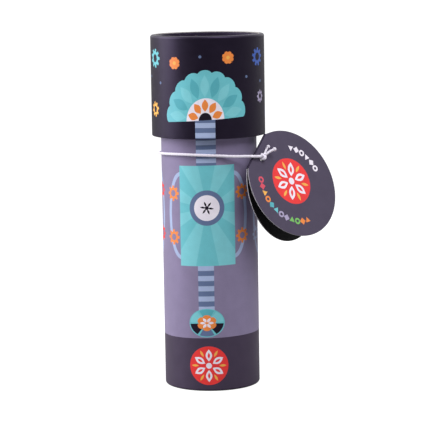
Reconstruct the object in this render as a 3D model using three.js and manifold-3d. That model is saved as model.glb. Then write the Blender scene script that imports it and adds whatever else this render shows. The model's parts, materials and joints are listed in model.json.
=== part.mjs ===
// A children's kaleidoscope: a card tube with three mirrors, a turning cap that holds loose
// coloured beads between a clear window and a frosted one, and a folded round card tag on an
// elastic loop. Millimetres, +Z up. The tube stands on its eyepiece end at z = 0, on the Z axis.

import * as THREE from "three";
import Module from "manifold-3d";
import { mergeVertices } from "three/addons/utils/BufferGeometryUtils.js";

const wasm = await Module();
wasm.setup();

// ---- driving dimensions ----
const TOTAL_HEIGHT = 171;
const TUBE_RADIUS = 23.2;        // outside of the printed wrap
const TUBE_WALL = 1.85;          // card under the wrap
const CAP_RADIUS = 27.5;
const CAP_BOTTOM = 122.4;
const PAPER = 0.25;              // printed paper wrap
const GAP = 0.2;                 // room left between glued layers
const FIT = 0.35;                // room left round loose and turning pieces
const CORNER = 1.1;              // soft corner where a wrap folds over a card edge
const ROUND = 48;                // flats on a turned piece

const MIRROR_LENGTH = 144;
const MIRROR_WIDTH = 29.2;
const MIRROR_THICKNESS = 1.2;
const MIRROR_INSET = 8.6;        // from the axis to a mirror's face
const MIRROR_BOTTOM = 7;
const HOLDER_THICKNESS = 1.5;
const HOLDER_HEIGHTS = { lower: 12, upper: 146 };
const TAPE_WIDTH = 18;
const TAPE_THICKNESS = 0.3;
const TAPE_HEIGHTS = { lower: 34, upper: 108 };
const EYEPIECE_THICKNESS = 1.6;
const EYEPIECE_RING_WALL = 1.6;
const PEEPHOLE_RADIUS = 5;
const PANE = 1.2;                // clear plastic windows
const CHAMBER_DEPTH = 11.6;      // room for the beads
const COLLAR_BOTTOM = 139.2;
const COLLAR_HEIGHT = 4;
const END_RING_OVERHANG = 1.4;
const END_RING_DEPTH = 0.3;      // below the cap's folded edge
const CHIP = 2.2;                // thickness of a flat bead
const BEAD_TWIST = 2.3;          // turns each bead differently on its own axis

const TAG_RADIUS = 26.7;
const TAG_CARD = 0.4;
const LEAF_GAP = 0.15;           // from the fold's middle plane to each closed leaf
const TAG_CENTRE = 24.2;         // from the fold to the middle of the disc
const TAG_OPENING = THREE.MathUtils.degToRad(15.1);
const TAG_HOLE = { x: 1.0, y: 3.8, radius: 1.9 };
const ELASTIC_DIAMETER = 1.4;

const COLOURS = {
  printedLilac: 0x8d7f9d, printedDark: 0x2e2a36, card: 0xb9ab93, clear: 0xdfe6ea,
  frosted: 0xd5d3de, mirror: 0xc8ccd2, tape: 0xc9b87e, tagFace: 0x4a4651,
  elastic: 0xe6dff0, teal: 0x35b3ad, orange: 0xf08a3c, red: 0xe23a36, blue: 0x3d62b8,
  yellow: 0xf2c53d, green: 0x5fae4a, pink: 0xe0679a,
};

// ---- helpers ----
function material(colour, roughness = 0.6, metalness = 0, opacity = 1) {
  return new THREE.MeshStandardMaterial({
    color: colour, roughness, metalness, opacity, transparent: opacity < 1,
  });
}

function piece(name, geometry, surface) {
  const mesh = new THREE.Mesh(geometry, surface);
  mesh.name = name;
  return mesh;
}

// A closed ring turned about Z from [radius, height] corners, in anticlockwise order.
function turned(corners, segments = ROUND) {
  return turnedSolid([...corners, corners[0]], segments);
}

// A turned solid whose profile starts and ends on the axis.
function turnedSolid(corners, segments = ROUND) {
  const profile = corners.map(([radius, height]) => new THREE.Vector2(radius, height));
  return new THREE.LatheGeometry(profile, segments).rotateX(Math.PI / 2);
}

function ring(inner, outer, bottom, top) {
  return turned([[inner, bottom], [outer, bottom], [outer, top], [inner, top]]);
}

function disc(radius, bottom, thickness) {
  const top = bottom + thickness;
  return turnedSolid([[0, bottom], [radius, bottom], [radius, top], [0, top]]);
}

function flatPoints(points) {
  return points.map(([x, y]) => new THREE.Vector2(x, y));
}

// Corners of a star, gear blank or regular polygon, between two radii.
function toothedPoints(count, outer, inner, flat = 0) {
  const points = [];
  for (let tooth = 0; tooth < count; tooth += 1) {
    const middle = (tooth * 2 * Math.PI) / count;
    const half = Math.PI / count;
    const spread = flat * half;
    const corners = flat > 0
      ? [[middle - half, inner], [middle - spread * 1.6, inner], [middle - spread, outer],
        [middle + spread, outer], [middle + spread * 1.6, inner]]
      : [[middle, outer], [middle + half, inner]];
    corners.forEach(([angle, radius]) => {
      points.push([radius * Math.cos(angle), radius * Math.sin(angle)]);
    });
  }
  return points;
}

function regularPoints(count, radius) {
  return toothedPoints(count, radius, radius * Math.cos(Math.PI / count));
}

function extruded(shape, thickness, bottom = 0, curveSegments = 12) {
  const settings = { depth: thickness, bevelEnabled: false, curveSegments };
  return new THREE.ExtrudeGeometry(shape, settings).translate(0, 0, bottom);
}

function circleHole(x, y, radius) {
  const hole = new THREE.Path();
  hole.absarc(x, y, radius, 0, 2 * Math.PI, true);
  return hole;
}

function toSolid(geometry) {
  const bare = geometry.clone();
  bare.deleteAttribute("normal");
  bare.deleteAttribute("uv");
  const merged = mergeVertices(bare, 1e-5);
  return new wasm.Manifold(new wasm.Mesh({
    numProp: 3,
    vertProperties: new Float32Array(merged.attributes.position.array),
    triVerts: new Uint32Array(merged.index.array),
  }));
}

function fromSolid(solid) {
  const mesh = solid.getMesh();
  const geometry = new THREE.BufferGeometry();
  geometry.setAttribute("position", new THREE.BufferAttribute(mesh.vertProperties, 3));
  geometry.setIndex(new THREE.BufferAttribute(mesh.triVerts, 1));
  geometry.computeVertexNormals();
  return geometry;
}

// ---- heights, from the eyepiece up ----
const CARD_OUTER = TUBE_RADIUS - PAPER - GAP;
const CARD_INNER = CARD_OUTER - TUBE_WALL;
const INSIDE_FIT = CARD_INNER - FIT;
const MIRROR_TOP = MIRROR_BOTTOM + MIRROR_LENGTH;
const TUBE_WINDOW_BOTTOM = MIRROR_TOP + FIT;
const TUBE_TOP = TUBE_WINDOW_BOTTOM + PANE;
const CHAMBER_FLOOR = TUBE_TOP + FIT;
const CHAMBER_BOTTOM = CHAMBER_FLOOR + PANE;
const DIFFUSER_BOTTOM = CHAMBER_BOTTOM + CHAMBER_DEPTH + 2 * FIT;
const CAP_CARD_OUTER = CAP_RADIUS - PAPER - GAP;
const CAP_CARD_INNER = CAP_CARD_OUTER - TUBE_WALL;
const CAP_FIT = CAP_CARD_INNER - FIT;
const COLLAR_TOP = COLLAR_BOTTOM + COLLAR_HEIGHT;
const WRAP_TOP = COLLAR_BOTTOM - 2 * FIT;

// ---- the tube ----
function tubeWrap() {
  const outer = TUBE_RADIUS;
  const inner = TUBE_RADIUS - PAPER;
  return turned([
    [CARD_INNER, 0], [outer - CORNER, 0], [outer - CORNER * 0.3, CORNER * 0.3], [outer, CORNER],
    [outer, WRAP_TOP], [inner, WRAP_TOP], [inner, CORNER * 1.1],
    [inner - CORNER * 0.28, CORNER * 0.45], [outer - CORNER * 1.1, PAPER], [CARD_INNER, PAPER],
  ]);
}

function tubeCard() {
  const bottom = PAPER + GAP;
  return turned([
    [CARD_INNER, bottom], [CARD_OUTER - CORNER, bottom], [CARD_OUTER, bottom + CORNER],
    [CARD_OUTER, TUBE_TOP], [CARD_INNER, TUBE_TOP],
  ]);
}

function eyepieceDisc() {
  const corner = 0.4;
  return turned([
    [PEEPHOLE_RADIUS + corner, 0], [INSIDE_FIT, 0], [INSIDE_FIT, EYEPIECE_THICKNESS],
    [PEEPHOLE_RADIUS, EYEPIECE_THICKNESS], [PEEPHOLE_RADIUS, corner],
  ]);
}

function mirrorStrip(turn) {
  const strip = new THREE.BoxGeometry(MIRROR_WIDTH, MIRROR_THICKNESS, MIRROR_LENGTH);
  strip.translate(0, MIRROR_INSET + MIRROR_THICKNESS / 2, MIRROR_BOTTOM + MIRROR_LENGTH / 2);
  return strip.rotateZ(turn);
}

// The six-cornered outline that runs round the three mirrors, a clearance outside them.
function mirrorOutline(clearance) {
  const half = MIRROR_WIDTH / 2 + clearance;
  const back = MIRROR_INSET + MIRROR_THICKNESS + clearance;
  const points = [];
  for (let side = 0; side < 3; side += 1) {
    const turn = (side * 2 * Math.PI) / 3;
    [half, -half].forEach((along) => {
      const x = along * Math.cos(turn) - back * Math.sin(turn);
      const y = along * Math.sin(turn) + back * Math.cos(turn);
      points.push([x, y]);
    });
  }
  return points;
}

// The hole in a holder or a band of tape that the three mirrors pass through.
function mirrorHole() {
  return new THREE.Path(flatPoints(mirrorOutline(FIT)).reverse());
}

function mirrorHolder(bottom) {
  const plate = new THREE.Shape();
  plate.absarc(0, 0, INSIDE_FIT, 0, 2 * Math.PI, false);
  plate.holes.push(mirrorHole());
  return extruded(plate, HOLDER_THICKNESS, bottom, 24);
}

function mirrorTape(bottom) {
  const band = new THREE.Shape(flatPoints(mirrorOutline(FIT + TAPE_THICKNESS)));
  band.holes.push(mirrorHole());
  return extruded(band, TAPE_WIDTH, bottom);
}

function addTube(parent) {
  const card = material(COLOURS.card, 0.85);
  const clear = material(COLOURS.clear, 0.08, 0, 0.4);
  const mirror = material(COLOURS.mirror, 0.05, 1);
  const tape = material(COLOURS.tape, 0.5);
  const ringBottom = EYEPIECE_THICKNESS + GAP;
  const ringInner = INSIDE_FIT - EYEPIECE_RING_WALL;
  parent.add(
    piece("body_wrap", tubeWrap(), material(COLOURS.printedLilac, 0.4)),
    piece("body_tube", tubeCard(), card),
    piece("eyepiece_disc", eyepieceDisc(), material(COLOURS.printedDark, 0.5)),
    piece("eyepiece_window", disc(ringInner - GAP * 2, ringBottom, PANE), clear),
    piece("eyepiece_ring", ring(ringInner, INSIDE_FIT, ringBottom, MIRROR_BOTTOM - 1), card),
    piece("tube_window", disc(INSIDE_FIT, TUBE_WINDOW_BOTTOM, PANE - FIT), clear),
    piece("retaining_collar", ring(CARD_OUTER + GAP, CAP_FIT - GAP, COLLAR_BOTTOM, COLLAR_TOP), card),
  );
  ["lower", "upper"].forEach((level) => {
    parent.add(
      piece(`${level}_mirror_holder`, mirrorHolder(HOLDER_HEIGHTS[level]), card),
      piece(`${level}_mirror_tape`, mirrorTape(TAPE_HEIGHTS[level]), tape),
    );
  });
  for (let side = 0; side < 3; side += 1) {
    const turn = (side * 2 * Math.PI) / 3;
    parent.add(piece(`mirror_${side + 1}`, mirrorStrip(turn), mirror));
  }
}

// ---- the turning cap ----
function capWrap() {
  const outer = CAP_RADIUS;
  const inner = CAP_RADIUS - PAPER;
  const lip = CAP_CARD_INNER;
  return turned([
    [lip, CAP_BOTTOM], [outer - PAPER, CAP_BOTTOM], [outer, CAP_BOTTOM + PAPER],
    [outer, TOTAL_HEIGHT - CORNER], [outer - CORNER * 0.3, TOTAL_HEIGHT - CORNER * 0.3],
    [outer - CORNER, TOTAL_HEIGHT], [lip, TOTAL_HEIGHT], [lip, TOTAL_HEIGHT - PAPER],
    [outer - CORNER * 1.1, TOTAL_HEIGHT - PAPER],
    [inner - CORNER * 0.28, TOTAL_HEIGHT - CORNER * 0.45],
    [inner, TOTAL_HEIGHT - CORNER * 1.1], [inner, CAP_BOTTOM + PAPER], [lip, CAP_BOTTOM + PAPER],
  ]);
}

function capCard() {
  const bottom = CAP_BOTTOM + PAPER + GAP;
  const top = TOTAL_HEIGHT - PAPER - GAP;
  return turned([
    [CAP_CARD_INNER, bottom], [CAP_CARD_OUTER, bottom], [CAP_CARD_OUTER, top - CORNER],
    [CAP_CARD_OUTER - CORNER, top], [CAP_CARD_INNER, top],
  ]);
}

function addCap(parent) {
  const card = material(COLOURS.card, 0.85);
  const clear = material(COLOURS.clear, 0.08, 0, 0.4);
  const bore = TUBE_RADIUS + FIT;
  const chamberTop = DIFFUSER_BOTTOM - GAP;
  const endRingBottom = DIFFUSER_BOTTOM + PANE + GAP;
  const endRing = ring(
    bore - END_RING_OVERHANG, CAP_FIT, endRingBottom, TOTAL_HEIGHT - END_RING_DEPTH,
  );
  parent.add(
    piece("cap_wrap", capWrap(), material(COLOURS.printedDark, 0.4)),
    piece("cap_tube", capCard(), card),
    piece("bearing_sleeve", ring(bore, CAP_FIT, CAP_BOTTOM + 1, COLLAR_BOTTOM - FIT), card),
    piece("window_seat", ring(bore, CAP_FIT, COLLAR_TOP + FIT, CHAMBER_FLOOR - GAP), card),
    piece("chamber_window", disc(CAP_FIT, CHAMBER_FLOOR, PANE), clear),
    piece("chamber_ring", ring(bore, CAP_FIT, CHAMBER_BOTTOM + GAP, chamberTop), card),
    piece("diffuser", disc(CAP_FIT, DIFFUSER_BOTTOM, PANE), material(COLOURS.frosted, 0.8)),
    piece("end_ring", endRing, material(COLOURS.printedDark, 0.5)),
  );
}

// ---- the loose beads, in three rings round the axis ----
function chip(points, holeRadius = 0) {
  const shape = new THREE.Shape(flatPoints(points));
  if (holeRadius > 0) {
    shape.holes.push(circleHole(0, 0, holeRadius));
  }
  return extruded(shape, CHIP, 0, 5);
}

function ballBead(radius) {
  return new THREE.SphereGeometry(radius, 12, 8).translate(0, 0, radius);
}

function tubeBead(radius, length) {
  const half = length / 2;
  const lying = turnedSolid([[0, -half], [radius, -half], [radius, half], [0, half]], 10);
  return lying.rotateY(Math.PI / 2).translate(0, 0, radius);
}

function starBead(points, outer, inner) {
  return chip(toothedPoints(points, outer, inner));
}

function gearBead(teeth, outer, inner, holeRadius) {
  return chip(toothedPoints(teeth, outer, inner, 0.42), holeRadius);
}

function hexBead(radius, holeRadius) {
  return chip(regularPoints(6, radius), holeRadius);
}

function triangleBead(radius) {
  return chip(regularPoints(3, radius));
}

// Each ring of beads: its radius, then each bead's kind, colour, angle and geometry.
const BEAD_RINGS = [
  {
    lane: 3.6,
    beads: [
      ["ball", "red", 20, ballBead(2.4)],
      ["star", "yellow", 200, starBead(5, 3, 1.5)],
    ],
  },
  {
    lane: 11.2,
    beads: [
      ["gear", "teal", 65, gearBead(8, 3.1, 2.3, 0.9)],
      ["hex", "orange", 130, hexBead(2.9, 1.2)],
      ["ball", "blue", 190, ballBead(2.6)],
      ["triangle", "green", 255, triangleBead(3.2)],
      ["tube", "pink", 320, tubeBead(1.3, 4.6)],
    ],
  },
  {
    lane: 19.1,
    beads: [
      ["star", "orange", 10, starBead(5, 3.5, 1.7)],
      ["gear", "yellow", 52, gearBead(9, 3.6, 2.8, 1)],
      ["ball", "teal", 98, ballBead(3)],
      ["tube", "blue", 140, tubeBead(1.5, 5.4)],
      ["triangle", "red", 185, triangleBead(3.6)],
      ["hex", "green", 232, hexBead(3.3, 1.3)],
      ["star", "pink", 280, starBead(6, 3.5, 1.9)],
      ["ball", "orange", 325, ballBead(2.8)],
    ],
  },
];

function addBeads(parent) {
  BEAD_RINGS.forEach(({ lane, beads }) => {
    beads.forEach(([kind, colour, angle, geometry]) => {
      const bead = piece(`bead_${kind}_${colour}`, geometry, material(COLOURS[colour], 0.2));
      const turn = THREE.MathUtils.degToRad(angle);
      bead.position.set(lane * Math.cos(turn), lane * Math.sin(turn), CHAMBER_BOTTOM + FIT);
      bead.rotation.z = turn * BEAD_TWIST;
      parent.add(bead);
    });
  });
}

// ---- the elastic loop ----
// It leaves the knot, crosses the fold of the tag, runs round the tube and comes back through
// the hole from behind. Each row is a point: x, y, z.
const ELASTIC_ROUTE = [
  [23.6, -20.5, 113.3], [21.8, -21.7, 113.4], [19.0, -22.4, 113.6], [12.0, -23.1, 113.7],
  [4.2, -23.7, 114.2], [-4.2, -23.7, 114.6], [-12.0, -20.8, 114.8], [-18.4, -15.5, 114.6],
  [-22.6, -8.2, 114.2], [-24.1, 0.0, 113.8], [-22.6, 8.2, 113.4], [-18.4, 15.5, 113.1],
  [-12.0, 20.8, 112.9], [-4.2, 23.7, 112.8], [4.2, 23.7, 112.8], [12.0, 20.8, 112.8],
  [18.4, 15.5, 112.8], [22.6, 8.2, 112.7], [24.1, 0.5, 112.5], [23.9, -7.0, 111.8],
  [23.6, -14.6, 111.0], [24.0, -16.2, 111.6], [24.7, -17.4, 112.2],
];

function tubeAlong(curve, radius, steps, sides = 8) {
  const section = new THREE.Shape();
  for (let side = 0; side < sides; side += 1) {
    const angle = (side * 2 * Math.PI) / sides;
    const point = [radius * Math.cos(angle), radius * Math.sin(angle)];
    if (side === 0) {
      section.moveTo(...point);
    } else {
      section.lineTo(...point);
    }
  }
  return new THREE.ExtrudeGeometry(section, { steps, bevelEnabled: false, extrudePath: curve });
}

function elasticLoop() {
  const points = ELASTIC_ROUTE.map((point) => new THREE.Vector3(...point));
  const curve = new THREE.CatmullRomCurve3(points, false, "centripetal");
  return tubeAlong(curve, ELASTIC_DIAMETER / 2, 76);
}

// ---- the folded tag ----
// Its frame: x down along the fold, y across the front leaf, z out of the printed face.
const TAG_FOLD_MIDDLE = new THREE.Vector3(22.58, -17.2, 115.45);
const TAG_ALONG_FOLD = new THREE.Vector3(-0.382, -0.684, -0.622).normalize();
const TAG_ACROSS_HINT = new THREE.Vector3(0.704, 0.22, -0.675);
const KNOT_PLACE = new THREE.Vector3(1.3, 3.4, 2.1);
const TAIL_START = 2.4;          // from the middle of the knot
const SHORT_TAIL = { end: [-6.3, 0.1, 1.6], radius: 0.55, ball: 0.85 };
const LONG_TAIL = { end: [-6.7, 3.6, 2.4], radius: 0.7, ball: 1 };

function tagFrame() {
  const facing = new THREE.Vector3().crossVectors(TAG_ALONG_FOLD, TAG_ACROSS_HINT).normalize();
  const across = new THREE.Vector3().crossVectors(facing, TAG_ALONG_FOLD);
  const group = new THREE.Group();
  group.setRotationFromMatrix(new THREE.Matrix4().makeBasis(TAG_ALONG_FOLD, across, facing));
  group.position.copy(TAG_FOLD_MIDDLE);
  return group;
}

// A disc cut straight along the fold, with the punched hole.
function tagLeaf(bottom) {
  const start = GAP;
  const drop = TAG_CENTRE - start;
  const half = Math.acos(drop / TAG_RADIUS);
  const outline = new THREE.Shape();
  outline.absarc(0, TAG_CENTRE, TAG_RADIUS, -Math.PI / 2 + half, (3 * Math.PI) / 2 - half, false);
  outline.holes.push(circleHole(TAG_HOLE.x, TAG_HOLE.y, TAG_HOLE.radius));
  return extruded(outline, TAG_CARD, bottom, 24);
}

// A squashed ball with a smaller one on its shoulder.
function knot() {
  const body = new THREE.SphereGeometry(1, 12, 8).scale(1.5, 1.9, 1.4);
  const bulge = new THREE.SphereGeometry(1, 10, 8).scale(1.3, 1.2, 1.3).translate(-0.7, 1.0, 0.1);
  return fromSolid(toSolid(body).add(toSolid(bulge)));
}

// A cut end of the elastic along Z, with the small ball that melting left on it.
function elasticTail(length, radius, ball) {
  const profile = [
    [0, 0], [radius, 0], [radius, length - ball * 1.9], [ball, length - ball * 1.2],
    [ball, length - ball * 0.6], [ball * 0.55, length], [0, length],
  ];
  return turnedSolid(profile, 10);
}

function addTail(parent, name, { end, radius, ball }, surface) {
  const offset = new THREE.Vector3(...end);
  const direction = offset.clone().normalize();
  const aim = new THREE.Quaternion().setFromUnitVectors(new THREE.Vector3(0, 0, 1), direction);
  const shape = elasticTail(offset.length() - TAIL_START, radius, ball).applyQuaternion(aim);
  const tail = piece(name, shape, surface);
  tail.position.copy(KNOT_PLACE).addScaledVector(direction, TAIL_START);
  parent.add(tail);
}

function addTag(parent) {
  const elastic = material(COLOURS.elastic, 0.8);
  const face = material(COLOURS.tagFace, 0.45);
  parent.add(piece("elastic_loop", elasticLoop(), elastic));

  const tag = tagFrame();
  const tiedKnot = piece("elastic_knot", knot(), elastic);
  tiedKnot.position.copy(KNOT_PLACE);
  tag.add(tiedKnot);
  addTail(tag, "elastic_tail_short", SHORT_TAIL, elastic);
  addTail(tag, "elastic_tail_long", LONG_TAIL, elastic);
  tag.add(piece("tag_front", tagLeaf(LEAF_GAP), face));

  const backLeaf = piece("tag_back", tagLeaf(-LEAF_GAP - TAG_CARD), face);
  backLeaf.rotation.x = -TAG_OPENING;
  tag.add(backLeaf);
  parent.add(tag);
}

const kaleidoscope = new THREE.Group();
addTube(kaleidoscope);
addCap(kaleidoscope);
addBeads(kaleidoscope);
addTag(kaleidoscope);

export default kaleidoscope;
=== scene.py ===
"""Blender look of a children's card kaleidoscope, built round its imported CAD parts.

Shapes are worked out in millimetres and become metres where a mesh is made. Radii, heights and
places come from the CAD nodes. The printed artwork is drawn flat, as a list of inked outlines,
each painted over the ones before it, and is then wrapped round the card.
"""

import json
import math
from functools import cache
from types import SimpleNamespace

import bmesh
import bpy
import numpy as np
from mathutils import Matrix, Vector
from mathutils.geometry import delaunay_2d_cdt

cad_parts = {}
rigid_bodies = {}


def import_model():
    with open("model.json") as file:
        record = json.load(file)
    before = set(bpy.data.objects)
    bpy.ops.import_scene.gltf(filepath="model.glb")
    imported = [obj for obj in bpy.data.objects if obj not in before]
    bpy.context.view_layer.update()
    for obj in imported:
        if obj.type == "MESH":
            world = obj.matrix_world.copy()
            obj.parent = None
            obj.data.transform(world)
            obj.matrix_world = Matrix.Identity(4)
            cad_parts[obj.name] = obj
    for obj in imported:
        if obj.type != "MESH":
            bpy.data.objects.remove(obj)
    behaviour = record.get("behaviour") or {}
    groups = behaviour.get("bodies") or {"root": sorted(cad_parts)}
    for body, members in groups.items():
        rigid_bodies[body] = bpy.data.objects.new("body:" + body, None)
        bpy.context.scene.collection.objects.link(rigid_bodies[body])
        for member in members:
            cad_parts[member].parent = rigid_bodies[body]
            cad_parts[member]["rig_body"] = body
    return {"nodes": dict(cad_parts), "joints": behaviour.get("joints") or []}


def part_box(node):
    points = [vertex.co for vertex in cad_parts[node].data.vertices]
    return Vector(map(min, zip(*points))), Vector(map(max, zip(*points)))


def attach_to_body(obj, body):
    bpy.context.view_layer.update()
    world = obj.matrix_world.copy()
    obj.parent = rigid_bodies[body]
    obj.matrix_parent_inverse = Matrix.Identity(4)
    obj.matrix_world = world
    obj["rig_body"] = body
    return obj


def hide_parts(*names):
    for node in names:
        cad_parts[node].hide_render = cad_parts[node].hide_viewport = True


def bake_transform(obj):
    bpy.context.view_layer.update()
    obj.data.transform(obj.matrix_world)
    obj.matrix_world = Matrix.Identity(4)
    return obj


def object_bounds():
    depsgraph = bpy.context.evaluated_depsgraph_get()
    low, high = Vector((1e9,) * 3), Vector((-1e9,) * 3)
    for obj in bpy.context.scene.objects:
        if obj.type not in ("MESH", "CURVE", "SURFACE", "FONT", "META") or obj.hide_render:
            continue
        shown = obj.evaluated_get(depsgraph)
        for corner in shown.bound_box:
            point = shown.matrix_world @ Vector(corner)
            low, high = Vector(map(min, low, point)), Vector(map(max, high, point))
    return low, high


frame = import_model()
CAD_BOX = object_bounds()
SCENE = bpy.context.scene

MM = 0.001
STEPS = 120  # flats round a turned or wrapped piece
WELD = 0.001  # points of a piece that are closer than this become one
SMOOTH_ANGLE = math.radians(35)
PAPER = 0.25  # thickness of the printed wraps
LAP = 0.15  # how far a wrap's end stands up where it lies on its start

# ---- reading the CAD ----


def cad_points(node):
    """The CAD node's vertices, in millimetres."""
    return np.array([v.co for v in frame["nodes"][node].data.vertices], float) / MM


def turned_size(node):
    """(inner radius, outer radius, bottom, top) of a turned CAD node."""
    points = cad_points(node)
    radii = np.hypot(points[:, 0], points[:, 1])
    return radii.min(), radii.max(), points[:, 2].min(), points[:, 2].max()


def middle(node):
    """The middle of the CAD node's box, in millimetres."""
    low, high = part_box(node)
    return np.array((low + high) / 2) / MM


# ---- camera, light and floor ----

CAMERA_PLACE = (0.26, -955.3, 213.4)
CAMERA_PITCH = 7.66  # degrees below level
CAMERA_ROLL = -0.954  # degrees
CAMERA_LENS = 168.8
SENSOR_WIDTH = 36
BRIGHT_SIDE = (-0.1, 0.98, 0.15)  # the direction of the brightest surroundings
WORLD_STRENGTH = (0.05, 1.15)  # opposite to it, and towards it
SOFTBOXES = {  # place and size in metres, and power in watts
    "key": ((-1.1, 0.0, 0.6), (0.95, 1.0), 17.5),
    "fill": ((0.42, -0.62, 1.06), (0.8, 0.8), 12.4),
}
FLOOR_REACH = 12  # metres from its middle to each side
FLOOR_DROP = 0.0002  # metres below the object
FLOOR_GLOW = 0.92


def make_camera():
    """The photo's camera."""
    data = bpy.data.cameras.new("camera")
    data.sensor_width = SENSOR_WIDTH
    data.lens = CAMERA_LENS
    camera = bpy.data.objects.new("camera", data)
    SCENE.collection.objects.link(camera)
    camera.matrix_world = (
        Matrix.Translation(Vector(CAMERA_PLACE) * MM)
        @ Matrix.Rotation(math.radians(90 - CAMERA_PITCH), 4, "X")
        @ Matrix.Rotation(math.radians(CAMERA_ROLL), 4, "Z")
    )
    SCENE.camera = camera


def make_softboxes():
    """Large rectangular area lights that face the middle of the object."""
    target = (CAD_BOX[0] + CAD_BOX[1]) / 2
    for name, (where, size, power) in SOFTBOXES.items():
        data = bpy.data.lights.new(name, "AREA")
        data.shape = "RECTANGLE"
        data.size, data.size_y = size
        data.energy = power
        light = bpy.data.objects.new(name, data)
        SCENE.collection.objects.link(light)
        light.location = where
        light.rotation_euler = (target - light.location).to_track_quat("-Z", "Y").to_euler()


def make_world():
    """Soft surroundings, white in the picture: they light the object most from behind."""
    world = bpy.data.worlds.new("studio")
    world.use_nodes = True
    SCENE.world = world
    tree = world.node_tree
    where = add_node(tree, "TexCoord").outputs["Generated"]
    towards = add_node(tree, "VectorMath", where, BRIGHT_SIDE, operation="DOT_PRODUCT")
    shade = ranged(tree, towards.outputs["Value"], *WORLD_STRENGTH, start=-0.75, end=0.75)
    seen = add_node(tree, "LightPath").outputs["Is Camera Ray"]
    strength = add_node(tree, "Math", shade, seen, operation="MAXIMUM")
    background = tree.nodes["Background"]
    background.inputs["Color"].default_value = (1, 1, 1, 1)
    tree.links.new(strength.outputs[0], background.inputs["Strength"])


def make_floor():
    """A wide flat floor just under the object."""
    corners = box(-FLOOR_REACH, FLOOR_REACH, -FLOOR_REACH, FLOOR_REACH)
    mesh = bpy.data.meshes.new("floor")
    mesh.from_pydata([(x, y, -FLOOR_DROP) for x, y in corners], [], [(0, 1, 2, 3)])
    link_mesh("floor", mesh, [floor_material()])


# ---- meshes ----


def link_mesh(name, mesh, materials):
    """Puts a mesh into the scene, with its materials."""
    for material in materials:
        mesh.materials.append(material)
    made = bpy.data.objects.new(name, mesh)
    SCENE.collection.objects.link(made)
    return made


def build(name, points, faces, *materials, inks=None):
    """A piece from points in millimetres. inks gives each face's place in materials."""
    shape = bmesh.new()
    vertices = [shape.verts.new(Vector(p) * MM) for p in points]
    for number, face in enumerate(faces):
        made = shape.faces.new([vertices[i] for i in face])
        made.smooth = True
        made.material_index = inks[number] if inks else 0
    bmesh.ops.remove_doubles(shape, verts=shape.verts, dist=WELD * MM)
    bmesh.ops.recalc_face_normals(shape, faces=shape.faces)
    mesh = bpy.data.meshes.new(name)
    shape.to_mesh(mesh)
    shape.free()
    mesh.set_sharp_from_angle(angle=SMOOTH_ANGLE)
    return link_mesh(name, mesh, materials)


def build_inked(name, parts, surfaces):
    """A piece from parts, each of points, faces and the name of every face's surface."""
    numbers = {key: number for number, key in enumerate(surfaces)}
    points, faces, inks = [], [], []
    for part_points, part_faces, part_inks in parts:
        faces += [[i + len(points) for i in face] for face in part_faces]
        inks += [numbers[key] for key in part_inks]
        points += part_points
    return build(name, points, faces, *surfaces.values(), inks=inks)


def attach(piece, node):
    """Puts a piece in place of a CAD node, on its body."""
    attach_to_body(piece, frame["nodes"][node]["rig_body"])
    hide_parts(node)
    return piece


def grid_faces(rows, columns, ring_rows=False, ring_columns=True):
    """Quads between rows of points. Ring rows or columns close round to the first."""
    faces = []
    for row in range(rows if ring_rows else rows - 1):
        here, up = row * columns, (row + 1) % rows * columns
        for column in range(columns if ring_columns else columns - 1):
            beside = (column + 1) % columns
            faces.append((here + column, here + beside, up + beside, up + column))
    return faces


def rounded(corners, size, steps=3):
    """A closed [radius, height] profile with every corner off the axis rounded by size."""
    out = []
    for i, corner in enumerate(corners):
        here = np.array(corner, float)
        if here[0] == 0:
            out.append(here)
            continue
        before = np.array(corners[i - 1], float) - here
        after = np.array(corners[(i + 1) % len(corners)], float) - here
        start = here + before / np.linalg.norm(before) * size
        end = here + after / np.linalg.norm(after) * size
        for t in np.linspace(0, 1, steps + 1):
            out.append((1 - t) ** 2 * start + 2 * t * (1 - t) * here + t * t * end)
    return out


def turned(name, profile, material, steps=STEPS):
    """Turns a closed [radius, height] profile round the Z axis."""
    angles = np.linspace(0, 2 * math.pi, steps, endpoint=False)
    points = [(r * math.cos(a), r * math.sin(a), z) for r, z in profile for a in angles]
    on_axis = profile[0][0] == 0
    faces = grid_faces(len(profile), steps, ring_rows=not on_axis)
    return build(name, points, faces, material)


def distances(points):
    """How far along a line of points each of them is."""
    gaps = np.linalg.norm(np.diff(points, axis=0), axis=1)
    return np.concatenate([[0], np.cumsum(gaps)])


def evenly(points, spacing):
    """Points at even steps of about spacing along a line through the given ones."""
    along = distances(points)
    wanted = np.linspace(0, along[-1], max(2, round(along[-1] / spacing) + 1))
    return np.stack([np.interp(wanted, along, points[:, i]) for i in range(3)], axis=1)


def between(first, second, start, end, t):
    """The value at t, on the line from the first at start to the second at end."""
    return ((end - t) * first + (t - start) * second) / (end - start)


def catmull_rom(points, steps=12):
    """The centripetal Catmull-Rom curve through the points."""
    points = [np.array(p, float) for p in points]
    ends = [2 * points[0] - points[1], *points, 2 * points[-1] - points[-2]]
    curve = []
    for i in range(len(points) - 1):
        p = ends[i : i + 4]
        gaps = [math.sqrt(np.linalg.norm(b - a)) for a, b in zip(p, p[1:])]
        knots = np.cumsum([0, *gaps])
        for t in np.linspace(knots[1], knots[2], steps, endpoint=False):
            sides = [between(p[k], p[k + 1], knots[k], knots[k + 1], t) for k in range(3)]
            pair = [between(sides[k], sides[k + 1], knots[k], knots[k + 2], t) for k in range(2)]
            curve.append(between(*pair, knots[1], knots[2], t))
    curve.append(points[-1])
    return np.array(curve)


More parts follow.
